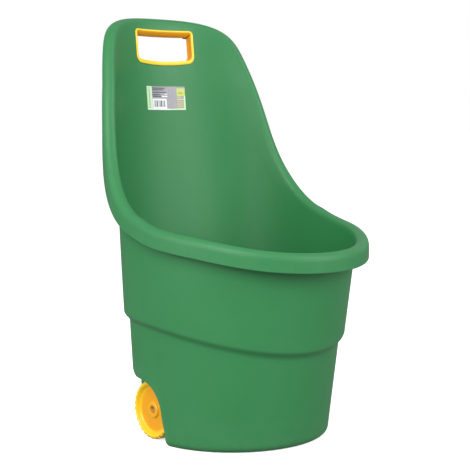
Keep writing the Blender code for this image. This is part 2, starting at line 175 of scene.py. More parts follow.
def add_object(name, mesh):
    obj = bpy.data.objects.new(name, mesh)
    bpy.context.collection.objects.link(obj)
    return obj


def shade(mesh, sharp):
    """Smooth shading, except along corners sharper than sharp degrees."""
    mesh.shade_smooth()
    mesh.set_sharp_from_angle(angle=math.radians(sharp))


def add_piece(name, points, faces, finish, body, stands_for, finish_slot, sharp=SHARP_CORNER):
    """A smooth-shaded object that rides on a CAD body and stands for its CAD node."""
    mesh = make_mesh(name, points, faces)
    shade(mesh, sharp)
    for one in finish if isinstance(finish, list) else [finish]:
        mesh.materials.append(one)
    obj = add_object(name, mesh)
    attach(obj, body)
    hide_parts(stands_for)
    print(f"{name}: {len(mesh.vertices)} points, {len(mesh.polygons)} faces")
    return obj


def skin(rings, joined=False):
    """Points and faces over rings of equal length, joined last to first or else capped at both ends."""
    count = len(rings[0])
    points = [p for ring in rings for p in ring]
    faces = []
    for row in range(len(rings) if joined else len(rings) - 1):
        low, high = row * count, ((row + 1) % len(rings)) * count
        for column in range(count):
            after = (column + 1) % count
            faces.append((low + column, low + after, high + after, high + column))
    if not joined:
        faces.append(tuple(range(count)))
        faces.append(tuple(range(len(points) - count, len(points))))
    return points, faces


# %% [markdown]
# Moulded plastic has no knife edges: every corner of a section is a small arc. Rounding the section's
# corners before it is swept gives the arcs exactly, where a bevel afterwards would have to guess.

# %% Round the corners of a section
def rounded(section, radius, steps, closed=False):
    """The section with each corner replaced by a small arc. radius is one number or one per corner."""
    result = []
    count = len(section)
    radii = radius if isinstance(radius, list) else [radius] * count
    for index in range(count):
        here = np.array(section[index], float)
        if not closed and index in (0, count - 1):
            result.append(tuple(here))
            continue
        before = np.array(section[index - 1], float)
        after = np.array(section[(index + 1) % count], float)
        back, ahead = before - here, after - here
        back_length, ahead_length = np.linalg.norm(back), np.linalg.norm(ahead)
        reach_along = min(radii[index], 0.49 * back_length, 0.49 * ahead_length)
        if reach_along <= 0:
            result.append(tuple(here))
            continue
        start = here + back / back_length * reach_along
        end = here + ahead / ahead_length * reach_along
        for step in range(steps + 1):
            t = step / steps
            result.append(tuple((1 - t) ** 2 * start + 2 * t * (1 - t) * here + t * t * end))
    return result


# %% [markdown]
# ## Finishes
# Injection-moulded plastic looks alive because of a few quiet things: a fine grain from the mould over a
# slow waviness of the sheet, a little colour drift where the melt flowed, corners polished by handling,
# and a trace of dust at the foot. Each one is a node group that puts out only a colour, a mask or a
# height, so that the green, yellow and black plastics share them with their own values.

# %% Node helpers
def new_group(name, inputs, outputs):
    """An empty shader group with float or colour sockets: (name, kind, default)."""
    group = bpy.data.node_groups.new(name, "ShaderNodeTree")
    kinds = {"value": "NodeSocketFloat", "colour": "NodeSocketColor"}
    for label, kind, default in inputs:
        socket = group.interface.new_socket(label, in_out="INPUT", socket_type=kinds[kind])
        socket.default_value = default
    for label, kind in outputs:
        group.interface.new_socket(label, in_out="OUTPUT", socket_type=kinds[kind])
    return group, group.nodes.new("NodeGroupInput"), group.nodes.new("NodeGroupOutput")


def node(tree, kind, **values):
    """A new node with its properties, and its sockets by name, set."""
    made = tree.nodes.new(kind)
    for label, value in values.items():
        if hasattr(made, label):
            setattr(made, label, value)
        else:
            made.inputs[label.replace("_", " ")].default_value = value
    return made


def math_node(tree, operation, first, second, clamp=False):
    """A Math node. Each operand is a number or a socket."""
    made = tree.nodes.new("ShaderNodeMath")
    made.operation = operation
    made.use_clamp = clamp
    for index, value in enumerate((first, second)):
        if isinstance(value, float):
            made.inputs[index].default_value = value
        else:
            tree.links.new(value, made.inputs[index])
    return made.outputs[0]


def blend_colours(tree, amount, first, second):
    """A colour Mix node. Each part is a number, a colour or a socket."""
    made = tree.nodes.new("ShaderNodeMix")
    made.data_type = "RGBA"
    for label, value in (("Factor", amount), ("A", first), ("B", second)):
        kind = "VALUE" if label == "Factor" else "RGBA"
        socket = next(s for s in made.inputs if s.name == label and s.type == kind)
        if isinstance(value, bpy.types.NodeSocket):
            tree.links.new(value, socket)
        else:
            socket.default_value = value if kind == "VALUE" else (*value, 1.0)
    return next(s for s in made.outputs if s.type == "RGBA")


def remap(tree, value, low, high, new_low, new_high):
    made = node(tree, "ShaderNodeMapRange", clamp=True)
    for label, number in (("From Min", low), ("From Max", high), ("To Min", new_low), ("To Max", new_high)):
        made.inputs[label].default_value = number
    tree.links.new(value, made.inputs["Value"])
    return made.outputs["Result"]


def noise(tree, place, scale, detail, roughness):
    made = node(tree, "ShaderNodeTexNoise", Detail=detail, Roughness=roughness)
    if isinstance(scale, bpy.types.NodeSocket):
        tree.links.new(scale, made.inputs["Scale"])
    else:
        made.inputs["Scale"].default_value = scale
    tree.links.new(place, made.inputs["Vector"])
    return made.outputs["Fac"]


# %% [markdown]
# **Grain.** A mould is spark-eroded or bead-blasted, which leaves tiny pits about half a millimetre apart.
# A scanned texture would show them well but repeats. Noise in the object's own coordinates never repeats
# and stays put when the cart is turned. It is laid down at three sizes: the pits, a coarser mottle, and
# the slow waves of the sheet.

# %% Grain group
MOTTLE_PER_METRE, WAVES_PER_METRE, MOTTLE_SHARE = 420.0, 11.0, 0.6


def make_grain_group():
    group, given, result = new_group(
        "mould_grain", [("Pits per metre", "value", 1800.0), ("Pit depth", "value", 0.35),
                        ("Sheet waves", "value", 0.5)], [("Height", "value"), ("Pits", "value")])
    place = group.nodes.new("ShaderNodeTexCoord").outputs["Object"]
    pits = noise(group, place, given.outputs["Pits per metre"], 2.0, 0.6)
    mottle = noise(group, place, MOTTLE_PER_METRE, 2.0, 0.5)
    waves = noise(group, place, WAVES_PER_METRE, 1.0, 0.4)
    fine = math_node(group, "MULTIPLY", pits, given.outputs["Pit depth"])
    mottle_depth = math_node(group, "MULTIPLY", given.outputs["Pit depth"], MOTTLE_SHARE)
    middle = math_node(group, "MULTIPLY", mottle, mottle_depth)
    slow = math_node(group, "MULTIPLY", waves, given.outputs["Sheet waves"])
    total = math_node(group, "ADD", math_node(group, "ADD", fine, middle), slow)
    group.links.new(total, result.inputs["Height"])
    group.links.new(pits, result.inputs["Pits"])
    return group


GRAIN = make_grain_group()

# %% [markdown]
# **Colour drift.** Pigment isn't spread perfectly: over a hand's length the colour wanders a little, and
# close up there are faint darker specks. The group takes one colour and gives back the wandering one.

# %% Colour drift group
def make_drift_group():
    group, given, result = new_group(
        "pigment_drift",
        [("Colour", "colour", (0.5, 0.5, 0.5, 1.0)), ("Deep colour", "colour", (0.4, 0.4, 0.4, 1.0)),
         ("Amount", "value", 0.5), ("Specks", "value", 0.3)],
        [("Colour", "colour")])
    place = group.nodes.new("ShaderNodeTexCoord").outputs["Object"]
    cloud = remap(group, noise(group, place, 5.5, 4.0, 0.55), 0.35, 0.65, 0.0, 1.0)
    amount = math_node(group, "MULTIPLY", cloud, given.outputs["Amount"])
    drifted = blend_colours(group, amount, given.outputs["Colour"], given.outputs["Deep colour"])
    speck = remap(group, noise(group, place, 700.0, 1.0, 0.4), 0.66, 0.76, 0.0, 1.0)
    speck = math_node(group, "MULTIPLY", speck, given.outputs["Specks"])
    speckled = blend_colours(group, speck, drifted, given.outputs["Deep colour"])
    group.links.new(speckled, result.inputs["Colour"])
    return group


DRIFT = make_drift_group()

# %% [markdown]
# **Edge rub.** Hands, walls and other carts in the stack rub the corners first, so that they get smoother
# and slightly paler. Each mesh carries a measure of how sharply it bends, called edge, and the group
# breaks that measure up with noise so that the rub isn't an even outline.

# %% Edge rub group
def make_rub_group():
    group, given, result = new_group(
        "edge_rub", [("Edge", "value", 0.0), ("Strength", "value", 0.5)], [("Mask", "value")])
    place = group.nodes.new("ShaderNodeTexCoord").outputs["Object"]
    broken = remap(group, noise(group, place, 60.0, 4.0, 0.65), 0.35, 0.62, 0.25, 1.0)
    edge = math_node(group, "MULTIPLY", given.outputs["Edge"], broken)
    mask = math_node(group, "MULTIPLY", edge, given.outputs["Strength"], clamp=True)
    group.links.new(mask, result.inputs["Mask"])
    return group


RUB = make_rub_group()

# %% [markdown]
# **Floor dust.** Even in a shop, the lowest few centimetres pick up a trace of dust. A mask that fades
# with height does this, so clean plastic above stays clean.

# %% Dust group
def make_dust_group():
    group, given, result = new_group(
        "floor_dust", [("Height", "value", 0.05), ("Strength", "value", 0.2)], [("Mask", "value")])
    place = group.nodes.new("ShaderNodeTexCoord").outputs["Object"]
    split = group.nodes.new("ShaderNodeSeparateXYZ")
    group.links.new(place, split.inputs[0])
    share = math_node(group, "DIVIDE", split.outputs["Z"], given.outputs["Height"])
    near = math_node(group, "SUBTRACT", 1.0, share, clamp=True)
    cloud = remap(group, noise(group, place, 34.0, 5.0, 0.65), 0.40, 0.68, 0.0, 1.0)
    patchy = math_node(group, "MULTIPLY", near, cloud)
    mask = math_node(group, "MULTIPLY", patchy, given.outputs["Strength"], clamp=True)
    group.links.new(mask, result.inputs["Mask"])
    return group


DUST = make_dust_group()


# %% [markdown]
# ** The plastics.** One function mixes the four groups around a Principled shader. The green is a satin
# polypropylene, and the yellow is glossier and more saturated. Each yellow mesh carries a mask of painted
# shade, and where it is high the plastic is painted a deeper orange as shade: in the wheel's dish and inside
# the grip.

# %% Moulded plastic
def use_group(tree, group, **values):
    made = tree.nodes.new("ShaderNodeGroup")
    made.node_tree = group
    for label, value in values.items():
        socket = made.inputs[label.replace("_", " ")]
        if isinstance(value, bpy.types.NodeSocket):
            tree.links.new(value, socket)
        else:
            socket.default_value = value if socket.type == "VALUE" else (*value, 1.0)
    return made


def new_material(name):
    made = bpy.data.materials.new(name)
    made.use_nodes = True
    tree = made.node_tree
    return made, tree, tree.nodes["Principled BSDF"]


def add_bump(tree, shader, height, distance, strength):
    bump = node(tree, "ShaderNodeBump", Distance=distance, Strength=strength)
    tree.links.new(height, bump.inputs["Height"])
    tree.links.new(bump.outputs["Normal"], shader.inputs["Normal"])


PITS_PER_METRE, GRAIN_HEIGHT = 1800.0, 0.00025
DUST_TOP, DUST_STRENGTH, DUST_COLOUR = 0.07, 0.05, (0.46, 0.44, 0.38)


def moulded_plastic(name, colour, deep, pale, roughness, gloss, depth=0.35, waves=0.5, drift=0.5, rub=0.6,
                    painted_shade=None, thin=None):
    """A satin plastic. pale is the colour of rubbed corners, deep is where the pigment is strongest, the
    colour given for painted shade is laid where the mesh's mask of painted shade is high, and thin is how
    much light passes under the surface."""
    made, tree, shader = new_material(name)
    grain = use_group(tree, GRAIN, Pits_per_metre=PITS_PER_METRE, Pit_depth=depth, Sheet_waves=waves)
    colours = use_group(tree, DRIFT, Colour=colour, Deep_colour=deep, Amount=drift, Specks=0.35)
    edge = node(tree, "ShaderNodeAttribute", attribute_name="edge")
    worn = use_group(tree, RUB, Edge=edge.outputs["Fac"], Strength=rub)
    dusty = use_group(tree, DUST, Height=DUST_TOP, Strength=DUST_STRENGTH)
    body = colours.outputs["Colour"]
    # Painted shade: a deeper colour where the mesh's mask of painted shade is high.
    if painted_shade:
        painted_shade_mark = node(tree, "ShaderNodeAttribute", attribute_name="painted_shade")
        body = blend_colours(tree, painted_shade_mark.outputs["Fac"], body, painted_shade)
    rubbed = blend_colours(tree, worn.outputs["Mask"], body, pale)
    covered = blend_colours(tree, dusty.outputs["Mask"], rubbed, DUST_COLOUR)
    tree.links.new(covered, shader.inputs["Base Color"])
    base = remap(tree, grain.outputs["Pits"], 0.3, 0.7, roughness - 0.04, roughness + 0.05)
    smoother = math_node(tree, "SUBTRACT", base, math_node(tree, "MULTIPLY", worn.outputs["Mask"], 0.10))
    dullness = math_node(tree, "MULTIPLY", dusty.outputs["Mask"], 0.6)
    rougher = math_node(tree, "ADD", smoother, dullness, clamp=True)
    tree.links.new(rougher, shader.inputs["Roughness"])
    add_bump(tree, shader, grain.outputs["Height"], GRAIN_HEIGHT, 1.0)
    shader.inputs["Specular IOR Level"].default_value = gloss
    if thin:
        shader.inputs["Subsurface Weight"].default_value = thin
        shader.inputs["Subsurface Radius"].default_value = (1.0, 0.6, 0.15)
        shader.inputs["Subsurface Scale"].default_value = 0.0015
    return made


green_plastic = moulded_plastic("green_plastic", (0.034, 0.210, 0.070), (0.025, 0.188, 0.056),
                                (0.078, 0.270, 0.124), 0.44, 0.34)
# The deep orange given for painted shade below stands for the shade in the wheel's dish and inside the grip.
yellow_plastic = moulded_plastic("yellow_plastic", (0.95, 0.64, 0.020), (0.92, 0.57, 0.015),
                                 (0.99, 0.78, 0.10), 0.30, 0.40, depth=0.2, waves=0.3, drift=0.35, rub=0.5,
                                 painted_shade=(0.78, 0.31, 0.006), thin=0.12)
black_plastic = moulded_plastic("black_plastic", (0.022, 0.022, 0.024), (0.012, 0.012, 0.013),
                                (0.075, 0.075, 0.08), 0.45, 0.45, drift=0.4)

# %% [markdown]
# **Zinc-plated steel.** The axle is drawn rod and the washers and caps are pressed, so the marks run
# round the axle. Stretched noise gives the lay of the marks, and slow patches of dullness are the
# plating's own unevenness.

# %% Steel
def plated_steel(name):
    made, tree, shader = new_material(name)
    place = tree.nodes.new("ShaderNodeTexCoord").outputs["Object"]
    stretch = node(tree, "ShaderNodeMapping")
    stretch.inputs["Scale"].default_value = (2600.0, 60.0, 60.0)
    tree.links.new(place, stretch.inputs["Vector"])
    marks = noise(tree, stretch.outputs["Vector"], 1.0, 3.0, 0.6)
    patches = noise(tree, place, 130.0, 4.0, 0.6)
    edge = node(tree, "ShaderNodeAttribute", attribute_name="edge")
    worn = use_group(tree, RUB, Edge=edge.outputs["Fac"], Strength=0.7)
    tone = remap(tree, patches, 0.3, 0.7, 0.0, 1.0)
    plated = blend_colours(tree, tone, (0.50, 0.50, 0.52), (0.60, 0.59, 0.57))
    bright = blend_colours(tree, worn.outputs["Mask"], plated, (0.78, 0.77, 0.74))
    tree.links.new(bright, shader.inputs["Base Color"])
    shader.inputs["Metallic"].default_value = 1.0
    tree.links.new(remap(tree, patches, 0.3, 0.7, 0.26, 0.44), shader.inputs["Roughness"])
    add_bump(tree, shader, marks, 0.00004, 0.6)
    return made


zinc_steel = plated_steel("zinc_steel")

# %% [markdown]
# **Printed film.** The label is printed on plastic film: flat inks, a faint dot screen, and a gloss that
# varies a little where the film isn't quite flat.

# %% Printed film
def printed_film(name, ink, shade):
    made, tree, shader = new_material(name)
    place = tree.nodes.new("ShaderNodeTexCoord").outputs["Object"]
    screen = remap(tree, noise(tree, place, 2600.0, 2.0, 0.5), 0.4, 0.6, 0.0, 0.35)
    tree.links.new(blend_colours(tree, screen, ink, shade), shader.inputs["Base Color"])
    gloss = remap(tree, noise(tree, place, 60.0, 3.0, 0.5), 0.3, 0.7, 0.22, 0.36)
    tree.links.new(gloss, shader.inputs["Roughness"])
    add_bump(tree, shader, noise(tree, place, 45.0, 2.0, 0.5), 0.0006, 0.5)
    return made


INKS = {
    "white": printed_film("label_white", (0.78, 0.80, 0.80), (0.70, 0.72, 0.73)),
    "grey": printed_film("label_grey", (0.30, 0.29, 0.315), (0.26, 0.25, 0.275)),
    "dark": printed_film("label_dark", (0.055, 0.06, 0.085), (0.08, 0.085, 0.11)),
    "mint": printed_film("label_mint", (0.55, 0.78, 0.50), (0.48, 0.71, 0.43)),
    "lime": printed_film("label_lime", (0.50, 0.58, 0.06), (0.42, 0.52, 0.04)),
    "olive": printed_film("label_olive", (0.22, 0.20, 0.07), (0.17, 0.15, 0.05)),
    "sand": printed_film("label_sand", (0.52, 0.50, 0.34), (0.45, 0.43, 0.28)),
    "leaf": printed_film("label_leaf", (0.06, 0.30, 0.10), (0.05, 0.25, 0.08)),
}
print("finishes:", len(bpy.data.materials), "groups:", len(bpy.data.node_groups))

# %% [markdown]
# **Measuring the bends.** The rub needs to know where a mesh bends outwards. For each point, the gap
# between it and the mean of its neighbours, measured along the normal and divided by the spacing
# squared, is its curvature. That is cheap, is the same on every run, and goes with the mesh.

# %% Store the bend of a mesh
FULL_BEND, SPREAD_ROUNDS = 450.0, 2


def store_mark(mesh, label, values):
    """Keeps one number for each point of the mesh, for its material to read."""
    mesh.attributes.new(label, "FLOAT", "POINT").data.foreach_set("value", np.array(values, np.float32))


def mark_edges(obj):
    """Stores 0 to 1 as edge, 1 being an outward bend of FULL_BEND per metre or tighter."""
    mesh = obj.data
    count = len(mesh.vertices)
    places, normals = np.empty(count * 3), np.empty(count * 3)
    mesh.vertices.foreach_get("co", places)
    mesh.vertices.foreach_get("normal", normals)
    places, normals = places.reshape(-1, 3), normals.reshape(-1, 3)
    ends = np.empty(len(mesh.edges) * 2, int)
    mesh.edges.foreach_get("vertices", ends)
    ends = ends.reshape(-1, 2)
    span = places[ends[:, 1]] - places[ends[:, 0]]
    length = np.maximum(np.linalg.norm(span, axis=1), 1e-6)
    number = np.bincount(ends.ravel(), minlength=count).clip(1)
    bend = np.zeros(count)
    for here, away, sign in ((0, 1, 1.0), (1, 0, -1.0)):
        rise = -(span * sign * normals[ends[:, here]]).sum(axis=1) * 2 / length ** 2
        np.add.at(bend, ends[:, here], rise)
    bend = np.clip(bend / number * 2 / FULL_BEND, 0, 1)
    for _ in range(SPREAD_ROUNDS):
        total = (np.bincount(ends[:, 0], bend[ends[:, 1]], count)
                 + np.bincount(ends[:, 1], bend[ends[:, 0]], count))
        bend = 0.5 * bend + 0.5 * total / number
    store_mark(mesh, "edge", bend)
    print(f"{obj.name}: {100 * (bend > 0.3).mean():.1f} % of its points are on an edge")
    return obj


# %% [markdown]
# ## The tub
# The tub is one injection moulding, 2.6 mm thick: a floor, a lower wall, a ledge that climbs towards the
# back, an upper wall, and a rim that is turned over and down all the way round. Seen from above it is
# an ellipse in front and a boxier superellipse behind. It could be sculpted from a cylinder, but every
# wall here follows a formula in height and angle, so the formula draws it and nothing drifts.

# %% Plan of the tub
WALL = 0.0026
GAP = 0.0003
HALF_WIDTH, FRONT, BACK, WAIST_Y = 0.1898, 0.1846, 0.1487, 0.00614
SIDE_FLARE, FRONT_FLARE, BACK_FLARE = 0.051, 0.175, 0.108
FRONT_POWER, BACK_POWER_LOW, BACK_POWER_HIGH, BLEND_HEIGHT = 2.0, 3.17, 2.12, 0.70
LEDGE_FRONT, LEDGE_STEP, LEDGE_RISE = 0.182, 0.0096, 0.011
LEDGE_CLIMB, LEDGE_SWELL = 0.0238, 0.0107
TURN_NUDGE = 0.01


def sizes_at(z, stepped_out):
    """Half width, front and back reach, and the back's power at a height."""
    out = LEDGE_STEP if stepped_out else 0.0
    blend = min(max(z / BLEND_HEIGHT, 0.0), 1.0)
    power = BACK_POWER_LOW + (BACK_POWER_HIGH - BACK_POWER_LOW) * blend
    return (HALF_WIDTH + SIDE_FLARE * z + out, FRONT + FRONT_FLARE * z + out,
            BACK + BACK_FLARE * z + out, power)


def wall_point(phi, z, inset=0.0, stepped_out=True, scale=1.0):
    """A point on the left half of the outer face; phi runs from the front round to the back."""
    half, front, back, power = sizes_at(z, stepped_out)
    power, length = (FRONT_POWER, front) if phi <= math.pi / 2 else (power, back)
    side, ahead = math.sin(phi), math.cos(phi)
    side = abs(side) ** (2 / power)
    ahead = math.copysign(abs(ahead) ** (2 / power), ahead)
    return Vector((-side * (half - inset) * scale, WAIST_Y - ahead * (length - inset) * scale, z))


def angle_of(point):
    """The angle round the plan of a point near the upper wall."""
    half, front, back, back_power = sizes_at(point.z, True)
    behind = point.y - WAIST_Y
    length, power = (front, FRONT_POWER) if behind < 0 else (back, back_power)
    side = (abs(point.x) / half) ** (power / 2)
    ahead = (abs(behind) / length) ** (power / 2)
    return math.atan2(side, -math.copysign(ahead, behind))


def outward(phi, z):
    """The wall's outward direction in the plan."""
    before, after = wall_point(max(phi - TURN_NUDGE, 0.0), z), wall_point(min(phi + TURN_NUDGE, math.pi), z)
    along = after - before
    normal = Vector((along.y, -along.x, 0.0)).normalized()
    return normal if normal.dot(wall_point(phi, z) - Vector((0.0, WAIST_Y, z))) > 0 else -normal


def ledge_height(phi):
    """The ledge climbs from front to back, with a swell at the sides."""
    return LEDGE_FRONT + LEDGE_CLIMB * (1 - math.cos(phi)) + LEDGE_SWELL * (1 - math.cos(2 * phi))


# %% [markdown]
# The rim's line swoops: low and level across the front, then steeply up behind the shoulders to the top
# of the back. A handful of stations and a smooth curve through them is how such a line is lofted in
# boatbuilding. The curve bends evenly, so the highlight that runs along the rim doesn't kink.

# %% The rim's line
RIM_STATIONS = [
    (0, 0.3804), (35, 0.3896), (65, 0.4115), (82, 0.4254), (116, 0.5425),
    (126.8, 0.6516), (136.6, 0.7550), (144.1, 0.8034), (180, 0.8350),
]
DEGREES_TO_METRES = 0.0035
STEPS_BETWEEN_STATIONS = 60


def smooth_line(stations, count):
    """count points, evenly spaced, on the smooth curve through the stations, level at both ends."""
    fixed = np.array(stations, float)
    gaps = np.linalg.norm(np.diff(fixed * [DEGREES_TO_METRES, 1.0], axis=0), axis=1)
    rates = np.diff(fixed, axis=0) / gaps[:, None]
    size = len(fixed)
    matrix, wanted = np.eye(size), np.zeros((size, 2))
    wanted[0], wanted[-1] = (1 / DEGREES_TO_METRES, 0.0), (rates[-1][0], 0.0)
    for row in range(1, size - 1):
        before, after = gaps[row - 1], gaps[row]
        matrix[row, row - 1:row + 2] = after, 2 * (before + after), before
        wanted[row] = 3 * (after * rates[row - 1] + before * rates[row])
    slopes = np.linalg.solve(matrix, wanted)
    dense = []
    for span in range(size - 1):
        for part in np.linspace(0, 1, STEPS_BETWEEN_STATIONS, endpoint=False):
            low, high = (1 + 2 * part) * (1 - part) ** 2, part ** 2 * (3 - 2 * part)
            rise, fall = part * (1 - part) ** 2, part ** 2 * (part - 1)
            dense.append(low * fixed[span] + high * fixed[span + 1]
                         + gaps[span] * (rise * slopes[span] + fall * slopes[span + 1]))
    dense = np.array(dense + [fixed[-1]])
    steps = np.linalg.norm(np.diff(dense * [DEGREES_TO_METRES, 1.0], axis=0), axis=1)
    length = np.concatenate([[0], np.cumsum(steps)])
    even = np.linspace(0, length[-1], count)
    return np.stack([np.interp(even, length, dense[:, axis]) for axis in (0, 1)], axis=1)


def rim_frames(count):
    """For each column: angle, point on the rim's line, outward direction, and the way up the wall."""
    line = smooth_line(RIM_STATIONS, count)
    angles = np.radians(line[:, 0])
    places = [wall_point(phi, z) for phi, z in zip(angles, line[:, 1])]
    frames = []
    for index, phi in enumerate(angles):
        if index in (0, count - 1):
            along = Vector((-1 if index == 0 else 1, 0, 0))
        else:
            along = (places[index + 1] - places[index - 1]).normalized()
        away = outward(phi, places[index].z)
        up = away.cross(along).normalized()
        frames.append((phi, places[index], away, up if up.z > 0 or up.y < 0 else -up))
    return frames


# %% [markdown]
# Each column of the tub goes up the outside, over the rim and down the inside, as one line. The
# corners of the foot, the ledge and the rim's lip get their own radius before the columns are joined,
# so the soft shine along them is real geometry.

# %% Columns of the tub
RIM_WIDTH, RIM_DEPTH, RIM_ROOT = 0.0249, 0.0313, 0.030
CORNER_RADIUS, FOOT_RECESS = 0.014, 0.005
LEDGE_ROUND, FOOT_ROUND, LIP_ROUND, CROWN_ROUND = 0.0055, 0.004, 0.0011, 0.0045
HALF_COLUMNS, CORNER_STEPS, LOWER_STEPS, UPPER_STEPS = 168, 8, 13, 21
FLOOR_MIDDLE, FLOOR_EDGE, FOOT_INNER = 0.40, 0.80, 0.84
TIP = RIM_WIDTH - WALL
RIM_SECTION = [
    (0.0, -0.008, CROWN_ROUND), (0.0042, 0.0004, CROWN_ROUND), (0.0125, 0.0020, CROWN_ROUND),
    (0.0198, -0.0010, CROWN_ROUND), (TIP, -0.0085, CROWN_ROUND), (TIP, -RIM_DEPTH, LIP_ROUND),
    (RIM_WIDTH, -RIM_DEPTH, LIP_ROUND), (RIM_WIDTH, -0.0075, CROWN_ROUND), (0.0226, -0.0001, CROWN_ROUND),
    (0.0180, 0.0038, CROWN_ROUND), (0.0125, 0.0050, CROWN_ROUND), (0.0052, 0.0042, CROWN_ROUND),
    (-0.0006, 0.0006, CROWN_ROUND), (-WALL, -0.0060, CROWN_ROUND),
]


def wall_line(phi, root, inset):
    """Points and radii up one face of the wall, from the floor's middle to the rim's root."""
    foot = WALL if inset else 0.0
    ledge = ledge_height(phi)
    top = ledge + LEDGE_RISE
    line = [(wall_point(phi, FOOT_RECESS + foot, 0, False, FLOOR_MIDDLE), 0.0),
            (wall_point(phi, FOOT_RECESS + foot, 0, False, FLOOR_EDGE), FOOT_ROUND),
            (wall_point(phi, foot, 0, False, FOOT_INNER), FOOT_ROUND)]
    bend = CORNER_RADIUS - inset
    for turn in np.radians(np.linspace(0, 90, CORNER_STEPS)):
        line.append((wall_point(phi, CORNER_RADIUS - bend * math.cos(turn),
                                CORNER_RADIUS - bend * math.sin(turn), False), 0.0))
    for part in np.linspace(0, 1, LOWER_STEPS)[1:]:
        z = CORNER_RADIUS + (ledge - CORNER_RADIUS) * part
        line.append((wall_point(phi, z, inset, False), LEDGE_ROUND if part == 1.0 else 0.0))
    root_phi = angle_of(root)
    for part in np.linspace(0, 1, UPPER_STEPS):
        turned_to = phi + (root_phi - phi) * part ** 2
        place = wall_point(turned_to, top + (root.z - top) * part, inset)
        line.append((place, 0.0 if part else LEDGE_ROUND))
    return line


def tub_columns(count):
    columns = []
    for phi, place, away, up in rim_frames(count + 1):
        root = place - up * RIM_ROOT
        rim = [(place + away * out + up * rise, radius) for out, rise, radius in RIM_SECTION]
        line = wall_line(phi, root, 0.0) + rim + wall_line(phi, root, WALL)[::-1]
        columns.append([Vector(p) for p in rounded([p for p, _ in line], [r for _, r in line], 4)])
    for column in (columns[0], columns[-1]):
        for point in column:
            point.x = 0.0
    return columns


def mirrored(columns):
    """The whole tub's rings, from columns of its left half."""
    right = [[Vector((-p.x, p.y, p.z)) for p in column] for column in columns[-2:0:-1]]
    return [list(ring) for ring in zip(*(columns + right))]


tub_points, tub_faces = skin(mirrored(tub_columns(HALF_COLUMNS)))
panel_tree = BVHTree.FromPolygons([tuple(p) for p in tub_points], tub_faces)
print("tub before cutting:", len(tub_points), "points")


# %% [markdown]
# ## Wheel wells and axle channel
# The wheels sit in wells at the back corners, and the axle lies in a channel between them, open below.
# In the mould these are dents pushed into the shell, with the wall going on round them. Cutting solids
# is the clear way to say this: first add the casing, which is the dent grown by the wall's thickness and
# trimmed to the inside of the tub, and then cut the dent itself. The cuts leave knife edges, so their
# corners are rounded last.

# %% Outlines of the wells and the channel
AXLE_Y, AXLE_Z = 0.0565, 0.058
WELL_SIDE, WELL_Y, WELL_RADIUS, WELL_ROUND, TUNNEL_HALF = 0.131, 0.059, 0.0635, 0.006, 0.010
WELL_FOOT, WELL_LEAN, WELL_KNEE = 0.011, 0.004, 0.026
ARCH_REAR = ((0.026, 0.0015), (0.040, 0.0070), (0.052, 0.0125), (0.066, 0.0165), (0.150, 0.0210))


def arc_outline(centre_y, centre_z, radius, start, end, steps):
    turns = np.radians(np.linspace(start, end, steps + 1))
    return [(centre_y + radius * math.cos(turn), centre_z + radius * math.sin(turn)) for turn in turns]


def well_outline(grow, bottom):
    """(y, z) outline of the space round a wheel: an arch in front, open to the back."""
    radius = WELL_RADIUS + grow
    front_foot = WELL_Y - WELL_RADIUS - WELL_FOOT - grow
    outline = [(front_foot, bottom), (front_foot + WELL_LEAN, WELL_KNEE)]
    outline += arc_outline(WELL_Y, AXLE_Z, radius, 180, 90, 8)
    outline += [(WELL_Y + back, AXLE_Z + radius + rise) for back, rise in ARCH_REAR]
    return rounded(outline + [(WELL_Y + ARCH_REAR[-1][0], bottom)], WELL_ROUND, 5)


def channel_outline(grow, bottom):
    half = TUNNEL_HALF + grow
    return ([(AXLE_Y - half, bottom)] + arc_outline(AXLE_Y, AXLE_Z, half, 180, 0, 16)
            + [(AXLE_Y + half, bottom)])


# %% Solids for cutting
PAST_WALL, CHANNEL_OVERLAP = 0.25, 0.004
CORE_STEPS, CORE_TOP = 90, 0.17


def solid(name, points, faces):
    """A closed helper. It is deleted once it has been used."""
    return add_object(name, make_mesh(name, points, faces))


def prism(name, outline, low, high):
    return solid(name, *skin([[(x, y, z) for y, z in outline] for x in (low, high)]))


def combine(target, operation, helper):
    """Applies one Boolean to target and removes the helper."""
    step = target.modifiers.new(operation, "BOOLEAN")
    step.operation, step.solver, step.object = operation, "EXACT", helper
    graph = bpy.context.evaluated_depsgraph_get()
    made = bpy.data.meshes.new_from_object(target.evaluated_get(graph))
    target.modifiers.clear()
    old, target.data = target.data, made
    bpy.data.meshes.remove(old)
    bpy.data.objects.remove(helper, do_unlink=True)


def wells_and_channel(name, grow, bottom):
    side_wall = WELL_SIDE - grow
    reach = side_wall + CHANNEL_OVERLAP
    whole = prism(name, channel_outline(grow, bottom - 0.001), -reach, reach)
    for side in (-1, 1):
        ends = sorted((side * side_wall, side * PAST_WALL))
        combine(whole, "UNION", prism("well", well_outline(grow, bottom), *ends))
    return whole


def make_core():
    """Fills the lower tub to the middle of its wall, to trim the casing with."""
    rings = []
    middle = WALL / 2
    bend = CORNER_RADIUS - middle
    heights = [(CORNER_RADIUS - bend * math.cos(t), CORNER_RADIUS - bend * math.sin(t))
               for t in np.radians(np.linspace(0, 90, 5))]
    for z, inset in heights + [(z, middle) for z in np.linspace(0.03, CORE_TOP, 8)]:
        half = [wall_point(math.pi * step / CORE_STEPS, z, inset, False) for step in range(CORE_STEPS + 1)]
        rings.append(half + [Vector((-p.x, p.y, p.z)) for p in half[-2:0:-1]])
    return solid("core", *skin(rings))


# %% [markdown]
# ## Hand hole
# The hole is cut square to the leaning back: a flat top for the fingers to hook under, and a bottom edge
# that bows down a little. Its outline is kept as stations with their own outward direction, because the
# two grip pieces are swept along the very same stations.

# %% Hand hole outline
GRIP_HALF, GRIP_TOP, GRIP_BOTTOM, GRIP_BOW, GRIP_DEPTH = 0.0722, 0.8125, 0.7515, 0.005, 0.016
PANEL_SLOPE = BACK_FLARE
START_IN_FRONT, START_BEHIND = -0.12, 0.015


